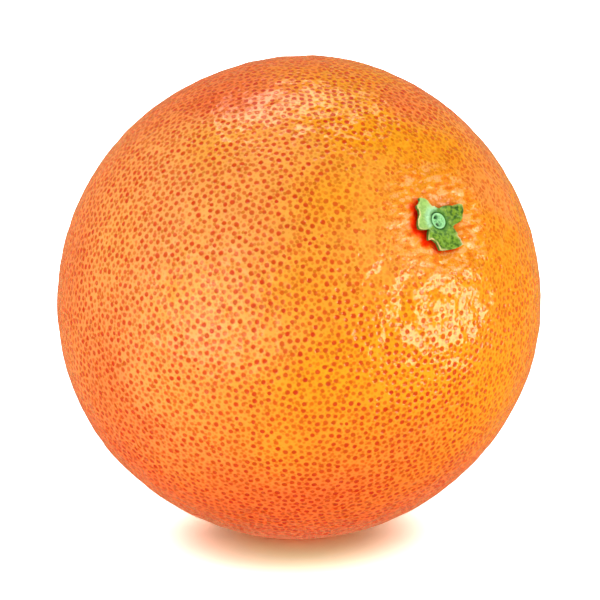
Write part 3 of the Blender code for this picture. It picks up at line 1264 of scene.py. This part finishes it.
@dataclass
class Calyx:
    """The green star of sepals, one closed sheet with a hole for the stem.

    Levels run from 0 underneath to 1 on top, and azimuths are in degrees.
    """

    shape: FruitShape
    edge: TornEdge
    finish: SepalGreen = field(default_factory=SepalGreen)
    columns: int = 540
    top_rows: int = 30
    hole_radius: float = 1.64 * MM
    cup_radius: float = 1.52 * MM
    under: float = 0.08 * MM
    thickness: float = 0.92 * MM
    thinning: float = 0.25
    tip_lift: float = 0.30 * MM
    rim_height: float = 0.14 * MM
    rim_width: float = 0.30 * MM
    rounding: float = 0.14 * MM
    fall_rows: int = 5
    back_rows: int = 8
    wall_rows: int = 5
    undercut: float = 0.6
    cup_levels: tuple[float, ...] = (0.16, 0.22, 0.24, 0.32)
    wall_foot: float = 0.4
    wall_lean: float = 0.8
    broad_dents: Hills = Hills(0.05 * MM, 1.3 * MM, 31)
    fine_dents: Hills = Hills(0.03 * MM, 0.6 * MM, 32)
    pale_rise: Pair = (0.3, 0.7)
    left_sepal: Pair = (82.0, 202.0)
    right_sepal: Pair = (-24.0, 80.0)
    sepal_softness: float = 5.0
    mottle: Triple = (0.90, -0.65, 0.10)
    collar_fade: Pair = (3.6 * MM, 2.3 * MM)
    collar_mix: Pair = (0.06, 0.94)
    cream_width: float = 0.24 * MM
    cream_level: Pair = (0.55, 0.9)
    side_level: Pair = (0.97, 0.7)
    shade_fade: Pair = (2.35 * MM, 1.75 * MM)
    shade_share: float = 0.75
    pale_edges: tuple[PaleEdge, ...] = (
        PaleEdge(168.0, 26.0, 1.0), PaleEdge(104.0, 10.0, 0.9), PaleEdge(222.0, 9.0, 1.0),
        PaleEdge(247.0, 12.0, 0.9), PaleEdge(304.0, 8.0, 0.9), PaleEdge(20.0, 7.0, 0.5),
    )

    def build(self) -> bpy.types.Object:
        """Work out the sheet as a closed loop swept round the stem.

        The loop runs outward over the top, down the rounded edge, back inward underneath and
        up the wall of the hole, whose foot is a cup that reaches in under the stem.

        Returns:
            The calyx's object.
        """
        azimuth = round_stem(self.columns)
        far = self.edge.reach(azimuth)
        reach, share, level, wall = self.loop(far)
        azimuth = np.broadcast_to(azimuth, reach.shape)
        flat = across(azimuth, reach)
        inward = self.edge.distance(flat.reshape(-1, 2)).reshape(reach.shape)
        bottom = self.under + self.tip_lift * share ** 2
        lift = bottom + level * (self.thickness * (1.0 - self.thinning * share)
                                 + self.details(flat, inward, azimuth))
        places = self.shape.lay_down(self.shape.over_rind(azimuth, reach, lift))
        faces = grid_faces(len(reach), self.columns, True)
        calyx = make_piece("green_calyx", places.reshape(-1, 3), faces, "calyx")
        self.add_looks(calyx, azimuth, reach, inward, level, wall)
        return calyx

    def loop(self, far: Array) -> tuple[Array, ...]:
        """The loop's rows, from the hole over the top and round to the hole again.

        Args:
            far: The outline's distance from the stem at each azimuth.

        Returns:
            For each row and azimuth, the distance from the stem, the share of the way out,
            the level from 0 underneath to 1 on top, and whether it is a side wall.
        """
        near, turn = self.hole_radius, self.rounding
        cup, low = self.cup_radius, self.rounding / self.thickness
        out = np.linspace(0.0, 1.0, self.top_rows)[:, None]
        bend = BEND[:, None]
        fall = np.linspace(1.0 - 2.0 * low, low, self.fall_rows)[:, None]
        back = np.linspace(1.0, 0.0, self.back_rows)[:, None]
        lean = np.linspace(self.wall_lean, 0.0, self.wall_rows)[:, None]
        still = np.ones_like(far)[None, :]
        rows = [
            (near + turn + out * (far - near - 2.0 * turn), out * still, 1.0 + 0.0 * out, 0.0),
            (far - turn * (1.0 - np.sin(bend)), still + 0.0 * bend,
             1.0 - low * (1.0 - np.cos(bend)), 0.5),
            (far - self.undercut * turn * (1.0 - fall), still + 0.0 * fall, fall, 1.0),
            (cup + back * (far - turn - cup), back * still, 0.0 * back, 1.0),
            (np.array([[cup], [cup + turn], [near - 2.0 * turn], [near - turn]]) * still,
             0.0 * still, np.array(self.cup_levels)[:, None], 1.0),
            (near - turn * lean * still, 0.0 * still,
             np.linspace(self.wall_foot, 1.0 - low, self.wall_rows)[:, None], 1.0),
            (near + turn * (1.0 - np.cos(bend[:2])) * still, 0.0 * still,
             1.0 - low * (1.0 - np.sin(bend[:2])), 0.3),
        ]
        return tuple(np.concatenate([np.broadcast_to(row[part], row[0].shape) for row in rows])
                     for part in range(4))

    def details(self, flat: Array, inward: Array, azimuth: Array) -> Array:
        """Height of the raised rim and the soft dents of the sepals' top.

        Args:
            flat: Places across the stem.
            inward: Their distances from the outline.
            azimuth: Their azimuths round the stem.

        Returns:
            One height for each.
        """
        rim = self.rim_height * bell(inward, self.rim_width)
        return (rim * grown(self.pale_rise, self.paleness(azimuth))
                + self.broad_dents.over(flat) + self.fine_dents.over(flat))

    def paleness(self, azimuth: Array) -> Array:
        """How pale the edge has dried at azimuths: the largest of the stretches' bells.

        Args:
            azimuth: Angles round the stem, in radians.

        Returns:
            One share for each.
        """
        return np.max([edge.share * bell(degrees_off(azimuth, edge.azimuth), edge.spread)
                       for edge in self.pale_edges], axis=0)

    def sepal_share(self, azimuth: Array, first: float, last: float) -> Array:
        """Share of the sepal between two azimuths, with soft sides.

        Args:
            azimuth: Angles round the stem, in radians.
            first: Where the sepal starts, in degrees.
            last: Where it ends, in degrees.

        Returns:
            One share for each angle.
        """
        middle, half = (first + last) / 2.0, (last - first) / 2.0
        off = np.abs(degrees_off(azimuth, middle))
        return smoothstep(half + self.sepal_softness, half - self.sepal_softness, off)

    def add_looks(self, calyx: bpy.types.Object, azimuth: Array, reach: Array, inward: Array,
                  level: Array, wall: Array) -> None:
        """Tell each vertex which sepal it lies on, how near its rim it is and how shaded.

        Args:
            calyx: The calyx's object.
            azimuth: The vertices' azimuths round the stem.
            reach: Their distances from the stem.
            inward: Their distances from the outline.
            level: From 0 underneath to 1 on top.
            wall: Whether they lie on a side wall.
        """
        left = self.sepal_share(azimuth, *self.left_sepal)
        right = self.sepal_share(azimuth, *self.right_sepal)
        mottle = self.mottle[0] + self.mottle[1] * left + self.mottle[2] * right
        collar = smoothstep(*self.collar_fade, reach) * grown(self.collar_mix, left)
        cream = (self.paleness(azimuth) * bell(inward, self.cream_width)
                 * smoothstep(*self.cream_level, level))
        # Painted shade round the stem's hole.
        shaded = self.shade_share * smoothstep(*self.shade_fade, reach)
        side = np.maximum(wall * smoothstep(*self.side_level, level), shaded)
        add_values(calyx, "sepal", np.stack((left, right, mottle), -1), Domain.POINT)
        add_values(calyx, "sepal_rim", np.stack((collar, cream, side), -1), Domain.POINT)

    def dress(self, calyx: bpy.types.Object) -> None:
        """Give the calyx its sepal green."""
        calyx.data.materials.append(self.finish.material())


@dataclass(frozen=True)
class CutStem:
    """The stem's fresh cut: a pale mint ring of bark round wet green pith.

    The eye sees a light ring, pale strands across it and two hollows, painted near-black as shade.
    """

    ring: str = "#96D892"
    pith: str = "#66B06C"
    # Near-black painted shade in the cut's two hollows.
    hollow: str = "#063A04"
    side: str = "#3F8A4A"
    fine: float = 0.45 * MM
    strand_fade: Pair = (0.38, 0.54)
    bump_depth: float = 0.06 * MM
    roughness: float = 0.38

    def material(self) -> bpy.types.Material:
        """Make the material.

        Returns:
            The stem's material.
        """
        material, tree, shader = new_material("fresh cut green stem")
        place = tree.add("TexCoord").outputs["Object"]
        cut = tree.attribute("cut")
        fine = tree.noise(place, self.fine).outputs["Fac"]
        base = tree.mixed(tree.ramped(fine, *self.strand_fade), self.pith, self.ring)
        base = tree.mixed(cut["x"], base, self.ring)
        # Painted shade in the hollows.
        base = tree.mixed(cut["y"], base, self.hollow)
        base = tree.mixed(cut["z"], base, self.side)
        tree.feed(shader, {"Base Color": base, "Roughness": self.roughness,
                           "Normal": tree.bumped(fine, self.bump_depth)})
        return material


@dataclass
class StemStub:
    """The short stub of stem in the calyx's hole, cut off level with it."""

    shape: FruitShape
    finish: CutStem = field(default_factory=CutStem)
    columns: int = 120
    top_rows: int = 26
    radius: float = 1.45 * MM
    rounding: float = 0.12 * MM
    foot: float = 0.30 * MM
    top: float = 0.96 * MM
    bowl_depth: float = 0.20 * MM
    hollow_depth: float = 0.45 * MM
    hollow_width: float = 0.34 * MM
    hollows: tuple[Pair, ...] = ((-0.22 * MM, 0.74 * MM), (-0.34 * MM, -0.60 * MM))
    hollow_shade: float = 1.2
    bowl_fade: Pair = (0.88, 0.55)
    ring_fade: Pair = (0.60, 0.78)
    strands: Hills = Hills(0.05 * MM, 0.55 * MM, 41)
    under_rings: int = 4
    least_ring: float = 0.1

    def build(self) -> bpy.types.Object:
        """Work out the stub as rings round its axis, closed by a point above and below.

        Returns:
            The stub's object.
        """
        out = np.linspace(0.0, 1.0, self.top_rows + 1)[1:] * (self.radius - self.rounding)
        top_reach = np.concatenate((out, out[-1] + self.rounding * np.sin(BEND)))
        drop = np.concatenate((0.0 * out, self.rounding * (1.0 - np.cos(BEND))))
        under = np.linspace(1.0, self.least_ring, self.under_rings) * self.radius
        reach = np.concatenate((top_reach, under))
        azimuth, reach = np.meshgrid(round_stem(self.columns), reach)
        flat = across(azimuth, reach)
        level = self.top - np.concatenate((drop, 0.0 * under))[:, None] - self.sunk(flat)
        level[len(top_reach):] = self.foot
        ground = self.shape.over_rind(np.zeros(1), np.full(1, self.radius), np.zeros(1))[0, 2]
        rings = np.concatenate((flat, (ground + level)[..., None]), -1).reshape(-1, 3)
        tip = ground + self.top - float(self.sunk(np.zeros((1, 2)))[0])
        ends = np.array([[0.0, 0.0, tip], [0.0, 0.0, ground + self.foot]])
        places = self.shape.lay_down(np.concatenate((rings, ends)))
        stub = make_piece("cut_stem", places, self.faces(len(reach)), "stem_stub")
        self.add_looks(stub, flat, len(top_reach))
        return stub

    def faces(self, rows: int) -> Array:
        """Triangles of all rings and of the fans that close them.

        Args:
            rows: How many rings there are.

        Returns:
            Rows of three vertex numbers.
        """
        here = np.arange(self.columns)
        beside = (here + 1) % self.columns
        last = (rows - 1) * self.columns
        end = rows * self.columns
        top_fan = np.stack((np.full_like(here, end), beside, here), -1)
        low_fan = np.stack((np.full_like(here, end + 1), last + here, last + beside), -1)
        return np.concatenate((grid_faces(rows, self.columns, False), top_fan, low_fan))

    def hollow_share(self, flat: Array) -> Array:
        """How far places lie in a hollow: the sum of the hollows' bells.

        Args:
            flat: Places across the stem.

        Returns:
            One share for each place.
        """
        gaps = np.linalg.norm(flat[..., None, :] - np.array(self.hollows), axis=-1)
        return bell(gaps, self.hollow_width).sum(-1)

    def sunk(self, flat: Array) -> Array:
        """Depth of the cut face below its rim: a bowl, two hollows and soft strands.

        Args:
            flat: Places across the stem.

        Returns:
            One depth for each.
        """
        inside = smoothstep(*self.bowl_fade, np.linalg.norm(flat, axis=-1) / self.radius)
        hollows = self.hollow_depth * self.hollow_share(flat)
        return inside * (self.bowl_depth + hollows - self.strands.over(flat))

    def add_looks(self, stub: bpy.types.Object, flat: Array, top_rings: int) -> None:
        """Tell each vertex whether it lies on the ring, in a hollow or on the side.

        Args:
            stub: The stub's object.
            flat: The rings' places across the stem.
            top_rings: How many rings belong to the top.
        """
        reach = np.linalg.norm(flat, axis=-1) / self.radius
        side = np.zeros_like(reach)
        side[top_rings - 1:] = 1.0
        # How strong the hollows' painted shade is.
        dark = np.clip(self.hollow_shade * self.hollow_share(flat), 0.0, 1.0)
        rings = np.stack((smoothstep(*self.ring_fade, reach), dark, side), -1)
        ends = np.array([[0.0, 0.0, 0.0], [0.0, 0.0, 1.0]])
        add_values(stub, "cut", np.concatenate((rings.reshape(-1, 3), ends)), Domain.POINT)

    def dress(self, stub: bpy.types.Object) -> None:
        """Give the stub its fresh cut."""
        stub.data.materials.append(self.finish.material())


@dataclass(frozen=True)
class Softbox:
    """A lamp: its way from the fruit, as shares of the picture's right, up and back."""

    name: str
    way: Triple
    size: Pair
    radiance: float
    lights: Lights


@dataclass(frozen=True)
class Studio:
    """A white sweep, even light from all round, and softboxes for the gloss.

    The light is split, as cards and flags split it in a real studio. The sky shapes the fruit
    evenly, and the gloss sees little of it but a warm glow from behind the fruit, which edges
    the rim. The sweep looks brighter than it lights the fruit. Close to the fruit a painted
    shadow makes it look darker and greener, and it glows red there for the light that the
    rind throws under itself. A softbox gives either gloss or form.
    gives either gloss or form.
    """

    azimuth: float = math.radians(-40.15)
    elevation: float = math.radians(12.0)
    distance: float = 1.6
    fruit_radius: float = 42.0 * MM
    fruit_pixels: float = 241.4
    aim_right: float = 0.9
    aim_down: float = 1.2
    sensor: float = 36.0
    floor_side: float = 12.0
    floor_colour: str = "#FCF9EC"
    floor_bounce: float = 1.5
    contact_reach: Pair = (8.0 * MM, 34.0 * MM)
    contact_glow: float = 0.55
    contact_tint: Colour = (1.0, 0.55, 0.5, 1.0)
    # The colour of the painted shadow next to the fruit, and the white that it fades to.
    floor_painted_shadow: Colour = (0.86, 1.30, 0.79, 1.0)
    floor_far: Colour = (2.8, 2.8, 2.8, 1.0)
    painted_shadow_ramp: Pair = (13.0 * MM, 57.0 * MM)
    floor_oval: Triple = (1.8, 1.0, 1.0)
    sky: float = 0.93
    sky_gloss: float = 0.06
    sky_behind: float = 0.72
    behind_fade: Pair = (0.5, 1.0)
    gloss_tint: Colour = (1.0, 0.42, 0.20, 1.0)
    horizon_glow: float = 0.9
    horizon_band: float = 0.45
    lamp_distance: float = 0.8
    lamp_tint: Triple = (1.0, 0.76, 0.60)
    softboxes: tuple[Softbox, ...] = (
        Softbox("top_gloss", (-0.02, 0.96, -0.25), (0.66, 0.30), 2.5, Lights.GLOSS),
        Softbox("top_core", (-0.10, 0.97, -0.20), (0.36, 0.22), 2.5, Lights.GLOSS),
        Softbox("left_gloss", (-0.71, -0.08, 0.70), (0.64, 0.64), 2.1, Lights.GLOSS),
        Softbox("left_core", (-0.71, -0.08, 0.70), (0.18, 0.18), 12.0, Lights.GLOSS),
        Softbox("right_gloss", (0.915, -0.155, 0.385), (0.56, 0.40), 8.2, Lights.GLOSS),
        Softbox("rim_fill", (-0.50, 0.78, -0.38), (0.50, 0.50), 2.9, Lights.FORM),
        Softbox("key", (0.75, 0.60, 0.30), (0.35, 0.35), 3.4, Lights.FORM),
    )

    def back(self) -> Vector:
        """The direction from the fruit to the camera."""
        level = math.cos(self.elevation)
        return Vector((math.sin(self.azimuth) * level, -math.cos(self.azimuth) * level,
                       math.sin(self.elevation)))

    def right(self) -> Vector:
        """The picture's right."""
        return Vector((math.cos(self.azimuth), math.sin(self.azimuth), 0.0))

    def up(self) -> Vector:
        """The picture's up."""
        return self.back().cross(self.right())

    def add_camera(self, middle: Vector) -> None:
        """Place the camera so that the fruit has its size and place in the picture.

        Args:
            middle: The fruit's middle.
        """
        half = math.tan(math.asin(self.fruit_radius / self.distance))
        picture_half = half * PICTURE_SIDE / 2.0 / self.fruit_pixels
        pixel = 2.0 * picture_half * self.distance / PICTURE_SIDE
        aim = middle + (self.right() * self.aim_right - self.up() * self.aim_down) * pixel
        data = bpy.data.cameras.new("camera")
        data.sensor_width = self.sensor
        data.lens = self.sensor / (2.0 * picture_half)
        camera = bpy.data.objects.new("camera", data)
        camera.location = aim + self.back() * self.distance
        camera.rotation_euler = (-self.back()).to_track_quat("-Z", "Y").to_euler()
        bpy.context.scene.collection.objects.link(camera)
        bpy.context.scene.camera = camera

    def hang(self, softbox: Softbox, middle: Vector) -> None:
        """Hang a softbox that faces the fruit.

        An area lamp's power is its radiance times pi times its area.

        Args:
            softbox: The lamp.
            middle: The fruit's middle.
        """
        way = (self.right() * softbox.way[0] + self.up() * softbox.way[1]
               + self.back() * softbox.way[2]).normalized()
        data = bpy.data.lights.new(softbox.name, "AREA")
        data.shape = "RECTANGLE"
        data.size, data.size_y = softbox.size
        data.color = self.lamp_tint if softbox.lights is Lights.GLOSS else (1.0, 1.0, 1.0)
        data.energy = softbox.radiance * math.pi * softbox.size[0] * softbox.size[1]
        lamp = bpy.data.objects.new(softbox.name, data)
        lamp.location = middle + way * self.lamp_distance
        lamp.rotation_euler = (-way).to_track_quat("-Z", "Y").to_euler()
        lamp.visible_camera = False
        lamp.visible_diffuse = softbox.lights is Lights.FORM
        lamp.visible_glossy = softbox.lights is Lights.GLOSS
        bpy.context.scene.collection.objects.link(lamp)

    def add_sky(self) -> None:
        """Light the studio evenly, and show much less of that light to the gloss."""
        world = bpy.data.worlds.new("studio")
        world.use_nodes = True
        tree = ShaderTree(world.node_tree)
        path = tree.add("LightPath")
        way = tree.add("TexCoord").outputs["Generated"]
        height = tree.add("SeparateXYZ", {"Vector": way}).outputs["Z"]
        glow = tree.ramped(height, self.horizon_band, 0.0, self.sky * (1.0 + self.horizon_glow),
                           self.sky)
        behind = tree.ramped(tree.reckoned("DOT_PRODUCT", way, -self.back()),
                             *self.behind_fade, self.sky_behind, self.sky_gloss)
        gloss = path.outputs["Is Glossy Ray"]
        tree.feed(world.node_tree.nodes["Background"], {
            "Color": tree.mixed(gloss, (1.0, 1.0, 1.0, 1.0), self.gloss_tint),
            "Strength": tree.chosen(gloss, glow, behind)})
        bpy.context.scene.world = world

    def floor_material(self) -> bpy.types.Material:
        """Make the white paper, which looks brighter to the camera than it lights the fruit.

        Close to the fruit the camera sees a painted shadow, darker and greener, which fades to
        white further out. Its distance from the fruit is that across an oval, whose contours lie
        closer together to the left and right than along the view.

        Returns:
            The sweep's material.
        """
        material, tree, shader = new_material("white paper sweep")
        viewed = tree.add("LightPath").outputs["Is Camera Ray"]
        place = tree.add("TexCoord").outputs["Object"]
        away = tree.reckoned("LENGTH", tree.reckoned("MULTIPLY", place, self.floor_oval))
        # Painted shadow on the sweep, seen by the camera only.
        painted_shadow = tree.mixed(tree.ramped(away, *self.painted_shadow_ramp), self.floor_painted_shadow, self.floor_far)
        bounce = tuple(c * self.floor_bounce for c in linear(self.floor_colour)[:3]) + (1.0,)
        sheet = tree.add("BsdfDiffuse", {"Color": tree.mixed(viewed, bounce, painted_shadow)})
        near = tree.ramped(away, *self.contact_reach, 0.0, self.contact_glow)
        strength = tree.chosen(viewed, near, 0.0)
        glow = tree.add("Emission", {"Color": self.contact_tint, "Strength": strength})
        both = tree.add("AddShader", {0: sheet.outputs["BSDF"], 1: glow.outputs["Emission"]})
        tree.feed(material.node_tree.nodes["Material Output"],
                  {"Surface": both.outputs["Shader"]})
        material.node_tree.nodes.remove(shader)
        return material

    def add_floor(self) -> None:
        """Lay the white sweep square to the view."""
        half = self.floor_side / 2.0
        mesh = bpy.data.meshes.new("white_sweep")
        mesh.from_pydata([(-half, -half, 0.0), (half, -half, 0.0), (half, half, 0.0),
                          (-half, half, 0.0)], [], [(0, 1, 2, 3)])
        mesh.materials.append(self.floor_material())
        floor = bpy.data.objects.new("white_sweep", mesh)
        floor.rotation_euler = (0.0, 0.0, self.azimuth)
        floor.visible_glossy = False
        bpy.context.scene.collection.objects.link(floor)

    def build(self, middle: Vector) -> None:
        """Build the whole studio.

        Args:
            middle: The fruit's middle.
        """
        self.add_camera(middle)
        for softbox in self.softboxes:
            self.hang(softbox, middle)
        self.add_sky()
        self.add_floor()
        bpy.context.scene.view_settings.view_transform = "Standard"


def main() -> None:
    """Build every piece of the orange and the studio round it."""
    logging.basicConfig(level=logging.INFO, format="%(name)s: %(message)s")
    shape, edge = FruitShape(), TornEdge()
    for assembly in (Rind(shape, edge), Calyx(shape, edge), StemStub(shape)):
        piece = assembly.build()
        assembly.dress(piece)
        LOG.info("%s: %d triangles", piece.name, len(piece.data.polygons))
    Studio().build(Vector((0.0, 0.0, shape.middle_height())))


if __name__ == "__main__":
    main()
